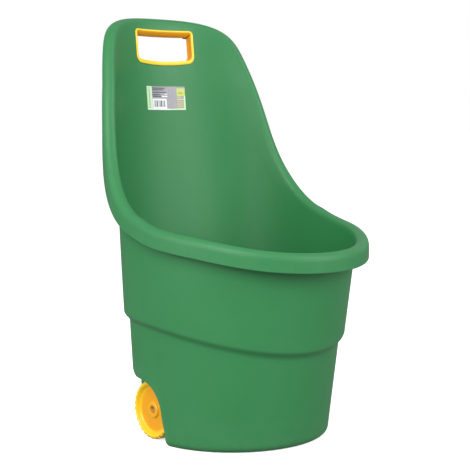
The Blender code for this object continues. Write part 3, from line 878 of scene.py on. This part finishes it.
def hole_stations(fine):
    """The hole's edge as (x, z, normal x, normal z), clockwise from the middle of its top."""
    top_radius, low_radius = 0.006, 0.010
    edge = [(x, GRIP_TOP, 0.0, 1.0) for x in np.linspace(0, GRIP_HALF - top_radius, 6 * fine)]
    for angle in np.linspace(90, 0, 3 * fine + 1)[1:]:
        across, up = math.cos(math.radians(angle)), math.sin(math.radians(angle))
        edge.append((GRIP_HALF - top_radius + top_radius * across, GRIP_TOP - top_radius + top_radius * up,
                     across, up))
    for z in np.linspace(GRIP_TOP - top_radius, GRIP_BOTTOM + low_radius, 4 * fine + 1)[1:]:
        edge.append((GRIP_HALF, z, 1.0, 0.0))
    for angle in np.linspace(0, -90, 5 * fine + 1)[1:]:
        across, up = math.cos(math.radians(angle)), math.sin(math.radians(angle))
        edge.append((GRIP_HALF - low_radius + low_radius * across, GRIP_BOTTOM + low_radius + low_radius * up,
                     across, up))
    for x in np.linspace(GRIP_HALF - low_radius, 0, 6 * fine)[1:]:
        edge.append((x, GRIP_BOTTOM, 0.0, -1.0))
    bowed = []
    for x, z, nx, nz in edge:
        low = (GRIP_TOP - z) / (GRIP_TOP - GRIP_BOTTOM)
        bowed.append((x, z - GRIP_BOW * low ** 3 * (1 - (x / GRIP_HALF) ** 2), nx, nz))
    return bowed + [(-x, z, -nx, nz) for x, z, nx, nz in bowed[-2:0:-1]]


PANEL_MIDDLE = wall_point(math.pi, (GRIP_TOP + GRIP_BOTTOM) / 2).y
PANEL_AXIS = Vector((0, 1, -PANEL_SLOPE)).normalized()


def panel_place(x, z, depth):
    """A point by its place on the panel and its depth along the hole's axis."""
    return Vector((x, PANEL_MIDDLE + depth, z - PANEL_SLOPE * depth))


def panel_front(x, z):
    return panel_tree.ray_cast(panel_place(x, z, START_IN_FRONT), PANEL_AXIS)[0].y - PANEL_MIDDLE


def panel_back(x, z):
    return panel_tree.ray_cast(panel_place(x, z, START_BEHIND), -PANEL_AXIS)[0].y - PANEL_MIDDLE


# %% Soften the corners that a cut leaves
CUT_ROUND, CUTS_TOP, CUT_ANGLE, FOLD_ROUNDS = 0.0009, 0.165, 38, 3


def soften_cuts(obj, width, top):
    """Rounds every corner below top. Slivers beside a corner are folded into it first, because they would
    pinch the rounding."""
    shape = bmesh.new()
    shape.from_mesh(obj.data)
    bmesh.ops.triangulate(shape, faces=shape.faces)

    def corners():
        return [edge for edge in shape.edges if edge.calc_face_angle(0) > math.radians(CUT_ANGLE)
                and max(vert.co.z for vert in edge.verts) < top]

    for _ in range(FOLD_ROUNDS):
        on_corner = sorted({vert for edge in corners() for vert in edge.verts}, key=lambda vert: vert.index)
        folds, taken = {}, set()
        for vert in on_corner:
            for edge in vert.link_edges:
                other = edge.other_vert(vert)
                limit = 0.8 * width if other in on_corner else 2.2 * width
                if edge.calc_length() < limit and not {vert, other} & set(folds) and other not in taken:
                    folds[other] = vert
                    taken.add(vert)
        bmesh.ops.weld_verts(shape, targetmap=folds)
        bmesh.ops.dissolve_degenerate(shape, dist=0.00005, edges=shape.edges)
        shape.verts.index_update()
    bmesh.ops.bevel(shape, geom=corners(), offset=width, offset_type="OFFSET", segments=3, profile=0.5,
                    affect="EDGES", clamp_overlap=True, loop_slide=True)
    print("edges not shared by two faces:", sum(len(edge.link_faces) != 2 for edge in shape.edges))
    shape.to_mesh(obj.data)
    shape.free()


# %% Cut the tub
CASING_BOTTOM, SPACE_BOTTOM = -0.001, -0.010
tub = add_piece("tub_moulding", tub_points, tub_faces, green_plastic, "cart", "tub", "green_plastic")
casing = wells_and_channel("casing", WALL, CASING_BOTTOM)
combine(casing, "INTERSECT", make_core())
combine(tub, "UNION", casing)
combine(tub, "DIFFERENCE", wells_and_channel("space", 0.0, SPACE_BOTTOM))
combine(tub, "DIFFERENCE", solid("hand_hole", *skin(
    [[panel_place(x, z, depth) for x, z, _, _ in hole_stations(2)] for depth in (-0.05, 0.03)])))
soften_cuts(tub, CUT_ROUND, CUTS_TOP)
shade(tub.data, SHARP_CORNER)
mark_edges(tub)
print("tub after cutting:", len(tub.data.vertices), "points")

# %% [markdown]
# ## Grip
# The grip is two yellow mouldings that clip together through the hole. The front one has a thin lip on
# the panel, a sleeve through it, and a thick round roll under the top, where the fingers pull. The rear
# one is a frame on the back of the panel with a collar round the sleeve. Sweeping a section round the
# hole's stations, with the lip and the roll as functions of the direction, makes the lip widen at the
# bottom and the roll fade at the corners. Both pieces carry a mask of painted shade, high behind the lip and
# inside the hole, where they are painted a deeper orange.

# %% Grip sections
LIP_WIDTH, LIP_WIDENS, ROLL = 0.0031, 0.0029, 0.0085
SLEEVE_IN, COLLAR_DEPTH = -0.0021, 0.0115


def front_grip_section(x, z, nx, nz):
    low, roll = max(0.0, -nz) ** 2, ROLL * max(0.0, nz) ** 2
    lip = LIP_WIDTH + LIP_WIDENS * low
    face = panel_front(x, z)
    lip_face = panel_front(x + nx * lip, z + nz * lip)
    section = [
        (-GAP, face + GRIP_DEPTH), (-GAP, face - GAP), (lip, lip_face - GAP), (lip, lip_face - 0.0018),
        (0.4 * lip, face - 0.0030), (SLEEVE_IN, face - 0.0022), (SLEEVE_IN - 0.65 * roll, face + 0.0020),
        (SLEEVE_IN - roll, face + 0.0080), (SLEEVE_IN - 0.8 * roll, face + GRIP_DEPTH),
    ]
    radii = [0.0006, 0.0002, 0.0004, 0.0009, 0.0012, 0.0016, 0.0030, 0.0040, 0.0008]
    return [panel_place(x + nx * out, z + nz * out, depth) for out, depth in rounded(section, radii, 4, True)]


def rear_grip_section(x, z, nx, nz):
    flange, collar, clear = 0.0045, 0.0018, 2.5 * GAP
    face = panel_back(x, z) + clear
    flange_face = panel_back(x + nx * flange, z + nz * flange) + clear
    section = [(0.0, face), (flange, flange_face), (flange, flange_face + 0.0020), (collar, face + 0.0028),
               (collar, face + COLLAR_DEPTH), (0.0, face + COLLAR_DEPTH)]
    radii = [0.0002, 0.0005, 0.0008, 0.0009, 0.0007, 0.0004]
    return [panel_place(x + nx * out, z + nz * out, depth) for out, depth in rounded(section, radii, 4, True)]


# %% Grip pieces
BEHIND_LIP, INSIDE_HOLE = (0.0007, 0.0026), (-0.0002, 0.0010)


def smooth_step(value, low, high):
    t = min(max((value - low) / (high - low), 0.0), 1.0)
    return t * t * (3 - 2 * t)


def grip_painted_shade(z, nz, ring):
    """Painted shade from 0 to 1 for each point of a section: 1 well behind the lip, or under the hole's top
    edge.
    """
    front = min(point.y for point in ring)
    marks = []
    for point in ring:
        inside = z - point.z - PANEL_SLOPE * (point.y - PANEL_MIDDLE)
        marks.append(max(smooth_step(point.y - front, *BEHIND_LIP),
                         smooth_step(inside, *INSIDE_HOLE) if nz > 0.5 else 0.0))
    return marks


for grip_name, node_name, section_of in (("front_grip", "grip_front", front_grip_section),
                                         ("rear_grip_frame", "grip_rear", rear_grip_section)):
    grip_stations = hole_stations(3)
    grip_rings = [section_of(*station) for station in grip_stations]
    grip_points, grip_faces = skin(grip_rings, joined=True)
    grip = mark_edges(add_piece(grip_name, grip_points, grip_faces, yellow_plastic, "cart", node_name,
                                "yellow_plastic", 55))
    # The grip's mask of painted shade, for its material to read.
    store_mark(grip.data, "painted_shade", [painted_shade_mark for (_, z, _, nz), ring in zip(grip_stations, grip_rings)
                                    for painted_shade_mark in grip_painted_shade(z, nz, ring)])

# %% [markdown]
# ## Label
# The label is half a millimetre of printed film on the panel. Its artwork is only blocks and bars of ink,
# so each block is a set of faces with its own ink, on a sheet whose grid lines follow the blocks'
# edges. That keeps every border sharp at any size, which a painted texture wouldn't.

# %% Label artwork
LABEL_LEFT, LABEL_RIGHT = -0.0518, 0.0484
LABEL_TOP, LABEL_BOTTOM, LABEL_THICKNESS = 0.6956, 0.6456, 0.0005

# Each block: ink, left, right, bottom, top, as shares of the label. Later blocks lie over earlier ones.
BLOCKS = [("grey", 0, 1, 0, 1), ("mint", 0, 0.13, 0, 1), ("white", 0.13, 0.145, 0, 1),
          ("white", 0.155, 0.53, 0.0, 0.48), ("white", 0.0, 0.62, 0.0, 0.05), ("mint", 0.62, 1.0, 0.0, 0.05),
          ("lime", 0.80, 1.0, 0.60, 0.93), ("sand", 0.80, 1.0, 0.05, 0.48), ("mint", 0.97, 1.0, 0.05, 0.60)]
BLOCKS += [("leaf", 0.055, 0.080, v, v + 0.035) for v in np.arange(0.08, 0.92, 0.06)]
BLOCKS += [("dark", 0.155, right, v, v + 0.045) for v, right in
           ((0.90, 0.50), (0.83, 0.46), (0.72, 0.53), (0.62, 0.38), (0.55, 0.48))]
BLOCKS += [("white", 0.40, 0.56, 0.555, 0.60), ("white", 0.48, 0.56, 0.66, 0.69),
           ("sand", 0.88, 0.96, 0.80, 0.88)]
BLOCKS += [("dark", left, left + width, 0.13, 0.40) for left, width in
           ((0.20, 0.022), (0.235, 0.012), (0.26, 0.030), (0.31, 0.012), (0.34, 0.022), (0.375, 0.035),
            (0.43, 0.012), (0.46, 0.022))]
BLOCKS += [("olive", 0.80, 0.97, v, v + 0.04) for v in (0.10, 0.19, 0.28, 0.37)]
BLOCKS += [("lime", 0.80, 0.90, 0.53, 0.57), ("olive", 0.84, 0.93, 0.70, 0.74)]


# %% Label sheet
def label_lines(first, second, extra):
    """The grid's lines one way: every block's borders, and a few more so that the sheet can curve."""
    found = {0.0, 1.0, *np.linspace(0, 1, extra)}
    for block in BLOCKS:
        found |= {block[first], block[second]}
    kept = []
    for value in sorted(float(round(v, 4)) for v in found):
        if not kept or value - kept[-1] > 0.002:
            kept.append(value)
    return kept


def ink_at(across, up):
    chosen = "grey"
    for ink, left, right, bottom, top in BLOCKS:
        if left <= across <= right and bottom <= up <= top:
            chosen = ink
    return chosen


label_columns, label_rows = label_lines(1, 2, 25), label_lines(3, 4, 13)
label_points, label_faces, label_inks = [], [], []
ink_names = list(INKS)
for lift in (GAP + LABEL_THICKNESS, GAP):
    for v in label_rows:
        z = LABEL_BOTTOM + (LABEL_TOP - LABEL_BOTTOM) * v
        for u in label_columns:
            x = LABEL_LEFT + (LABEL_RIGHT - LABEL_LEFT) * u
            label_points.append(panel_place(x, z, panel_front(x, z) - lift))
wide, layer = len(label_columns), len(label_columns) * len(label_rows)
for start in (0, layer):
    for row in range(len(label_rows) - 1):
        for column in range(wide - 1):
            first = start + row * wide + column
            label_faces.append((first, first + 1, first + wide + 1, first + wide))
            middle_u = (label_columns[column] + label_columns[column + 1]) / 2
            middle_v = (label_rows[row] + label_rows[row + 1]) / 2
            label_inks.append(ink_names.index("white" if start else ink_at(middle_u, middle_v)))
border = [*range(wide), *(wide * row + wide - 1 for row in range(1, len(label_rows))),
          *range(layer - 2, layer - wide - 1, -1), *(wide * row for row in range(len(label_rows) - 2, 0, -1))]
for here, after in zip(border, border[1:] + border[:1]):
    label_faces.append((here, after, after + layer, here + layer))
    label_inks.append(ink_names.index("white"))
label = add_piece("printed_label", label_points, label_faces, list(INKS.values()), "cart", "label",
                  "label_film")
label.data.polygons.foreach_set("material_index", label_inks)
print("label blocks:", len(BLOCKS))

# %% [markdown]
# ## Wheels
# Each wheel is one yellow moulding: a broad tread with shallow lugs, a raised ring round the outer face,
# a dish, and a hub with a counterbore that takes the axle's cap. Turning a section about the axle is how
# such a thing is drawn and tooled. The lugs are a ripple in the radius of the tread, square-shouldered but
# softened, which runs on over the tread's corners and fades out below them. The dish is painted a deeper
# orange as painted shade, and the tread partly.

# %% Turned pieces
WHEEL_RADIUS, WHEEL_X, WHEEL_OUTER, WHEEL_INNER = 0.058, 0.158, 0.016, 0.020
AXLE_RADIUS, BORE_RADIUS = 0.005, 0.0053
LUGS, LUG_DEPTH = 30, 0.0022
HUB_INNER, HUB_OUTER, HUB_SEAT, HUB_RECESS = -0.023, 0.0115, -0.001, 0.0080
WASHER = 0.0012


SIDES = ((-1, "left"), (1, "right"))
WHEEL_STEPS, HARDWARE_STEPS, ROD_STEPS, SADDLE_STEPS = 360, 96, 64, 72


def turns_round(count):
    return [2 * math.pi * step / count for step in range(count)]


def about_axle(along, radius, turn):
    return along, AXLE_Y + radius * math.cos(turn), AXLE_Z + radius * math.sin(turn)


def turned(profile, segments, radius_change=None):
    """A closed (x, radius) profile turned about the axle's line."""
    rings = []
    for turn in turns_round(segments):
        ring = []
        for along, radius in profile:
            if radius_change:
                radius += radius_change(radius, turn)
            ring.append(about_axle(along, radius, turn))
        rings.append(ring)
    return skin(rings, joined=True)


# %% Wheel
LUG_FADE = (WHEEL_RADIUS - 0.0075, WHEEL_RADIUS - 0.0035)
# Painted shade on the wheel: a deeper orange, most in the dish, some on the tread.
DISH_EDGE, DISH_PAINTED_SHADE = (0.041, 0.047), 0.85
TREAD_EDGE, TREAD_PAINTED_SHADE = (0.0560, 0.0575), 0.4
LONGEST_STEP = 0.004


def lug_ripple(radius, angle):
    """How far the tread drops between lugs."""
    place = abs(((angle * LUGS / (2 * math.pi)) % 1.0) - 0.5) * 2
    on_tread = smooth_step(radius, *LUG_FADE)
    return -LUG_DEPTH * on_tread * smooth_step(place, 0.42, 0.66)


def wheel_section():
    inner, outer, radius = -WHEEL_INNER, WHEEL_OUTER, WHEEL_RADIUS
    corners = [
        (HUB_INNER, BORE_RADIUS, 0.0004), (HUB_INNER, 0.0135, 0.0012), (0.002, 0.0145, 0.0020),
        (0.002, 0.0440, 0.0030), (inner + 0.001, 0.0505, 0.0020), (inner, 0.0525, 0.0010),
        (inner, radius - 0.0045, 0.0020), (inner + 0.0025, radius, 0.0022), (outer - 0.0035, radius, 0.0022),
        (outer - 0.0005, radius - 0.0030, 0.0014), (outer, radius - 0.0055, 0.0012),
        (outer - 0.0010, 0.0500, 0.0016), (0.0080, 0.0465, 0.0012), (0.0060, 0.0440, 0.0012),
        (0.0060, 0.0165, 0.0015), (HUB_OUTER - 0.001, 0.0150, 0.0008), (HUB_OUTER, 0.0140, 0.0008),
        (HUB_OUTER, HUB_RECESS, 0.0008), (HUB_SEAT, HUB_RECESS, 0.0005), (HUB_SEAT, BORE_RADIUS, 0.0004),
    ]
    line = []
    soft = rounded([(a, r) for a, r, _ in corners], [c for _, _, c in corners], 5, True)
    for here, after in zip(soft, soft[1:] + soft[:1]):
        line.append(here)
        pieces_between = int(math.dist(here, after) / LONGEST_STEP)
        for step in range(1, pieces_between + 1):
            t = step / (pieces_between + 1)
            line.append((here[0] + (after[0] - here[0]) * t, here[1] + (after[1] - here[1]) * t))
    return line


# How much painted shade a point at this radius gets.
def wheel_painted_shade(radius):
    return (DISH_PAINTED_SHADE * (1 - smooth_step(radius, *DISH_EDGE))
            + TREAD_PAINTED_SHADE * smooth_step(radius, *TREAD_EDGE))


for side, hand in SIDES:
    section = [(side * (WHEEL_X + along), radius) for along, radius in wheel_section()]
    wheel = mark_edges(add_piece(f"wheel_{hand}_moulding", *turned(section, WHEEL_STEPS, lug_ripple),
                                 yellow_plastic, f"wheel_{hand}", f"wheel_{hand}", "yellow_plastic"))
    # The wheel's mask of painted shade, for its material to read.
    store_mark(wheel.data, "painted_shade", [wheel_painted_shade(radius) for _, radius in section] * WHEEL_STEPS)

# %% [markdown]
# ## Axle, bearings, washers and caps
# The axle is a plain plated rod. A black saddle in each end of the channel carries it, a washer lies on
# both sides of each wheel, and a pressed cap is driven on over each end. They are small, so their chamfers
# and rolled edges are what tells steel from plastic at a glance.

# %% Axle rod
ROD_PAST_SEAT, ROD_TIP_RADIUS, ROD_CHAMFER = 0.0055, 0.0042, 0.0008

axle_end = WHEEL_X + HUB_SEAT + ROD_PAST_SEAT
rod_side = rounded([(-axle_end, 0.0), (-axle_end, ROD_TIP_RADIUS), (-axle_end + ROD_CHAMFER, AXLE_RADIUS),
                    (axle_end - ROD_CHAMFER, AXLE_RADIUS), (axle_end, ROD_TIP_RADIUS), (axle_end, 0.0)],
                   0.0005, 3)[1:-1]
rod = [[about_axle(along, radius, turn) for turn in turns_round(ROD_STEPS)] for along, radius in rod_side]
mark_edges(add_piece("axle_rod", *skin(rod), zinc_steel, "axle", "axle", "zinc_steel"))


# %% Washers and caps
INNER_WASHER_RADIUS, OUTER_WASHER_RADIUS = 0.0115, 0.0075
CAP_SECTION = [(0.0, BORE_RADIUS), (0.0, 0.0073), (0.0010, 0.0073), (0.0014, 0.0067), (0.0046, 0.0064),
               (0.0058, 0.0052), (0.0058, 0.0016), (0.0048, 0.0016), (0.0048, BORE_RADIUS)]


def steel_piece(name, side, section, radius, node_name):
    """A turned piece that goes round with the axle, from a section drawn for the right-hand side."""
    section = [(side * along, out) for along, out in section]
    mark_edges(add_piece(name, *turned(rounded(section, radius, 4, True), HARDWARE_STEPS), zinc_steel,
                         "axle", node_name, "zinc_steel"))


for side, hand in SIDES:
    for place, middle, outer in (("inner", WHEEL_X + HUB_INNER - GAP - WASHER / 2, INNER_WASHER_RADIUS),
                                 ("outer", WHEEL_X + HUB_SEAT + GAP + WASHER / 2, OUTER_WASHER_RADIUS)):
        low, high = middle - WASHER / 2, middle + WASHER / 2
        washer = [(low, BORE_RADIUS), (low, outer), (high, outer), (high, BORE_RADIUS)]
        steel_piece(f"{place}_washer_{hand}_disc", side, washer, 0.0003, f"{place}_washer_{hand}")
    base = WHEEL_X + HUB_SEAT + WASHER + 2 * GAP
    cup = [(base + along, radius) for along, radius in CAP_SECTION]
    steel_piece(f"axle_cap_{hand}_cup", side, cup, 0.0005, f"axle_cap_{hand}")


# %% Bearings
SADDLE_LENGTH, SADDLE_FLANGE, SADDLE_LIP, SADDLE_DROP = 0.018, 0.0016, 0.004, 1.3


def bearing_rings(side):
    """A saddle: round above, square-sided below where the channel is open, and flanged on the well's wall.
    Its section is (x, how far out, rounding), with None where it follows the bore."""
    half = TUNNEL_HALF - GAP
    flange = WELL_SIDE + GAP
    section = [(WELL_SIDE - SADDLE_LENGTH, 0.0, 0.0008), (flange, 0.0, 0.0004), (flange, SADDLE_LIP, 0.0004),
               (flange + SADDLE_FLANGE, SADDLE_LIP, 0.0006), (flange + SADDLE_FLANGE, None, 0.0004),
               (WELL_SIDE - SADDLE_LENGTH, None, 0.0004)]
    rings = []
    for turn in turns_round(SADDLE_STEPS):
        across, up = math.cos(turn), math.sin(turn)
        line = []
        for along, out, _ in section:
            if out is None:
                line.append(about_axle(side * along, BORE_RADIUS, turn))
                continue
            size = half + out
            stretch = size / max(abs(across), abs(up)) if up < 0 else size
            line.append((side * along, AXLE_Y + across * stretch,
                         AXLE_Z + up * stretch * (SADDLE_DROP if up < 0 else 1.0)))
        rings.append(rounded(line, [radius for _, _, radius in section], 3, True))
    return rings


for side, hand in SIDES:
    mark_edges(add_piece(f"axle_bearing_{hand}_saddle", *skin(bearing_rings(side), joined=True),
                         black_plastic, "cart", f"axle_bearing_{hand}", "black_plastic"))
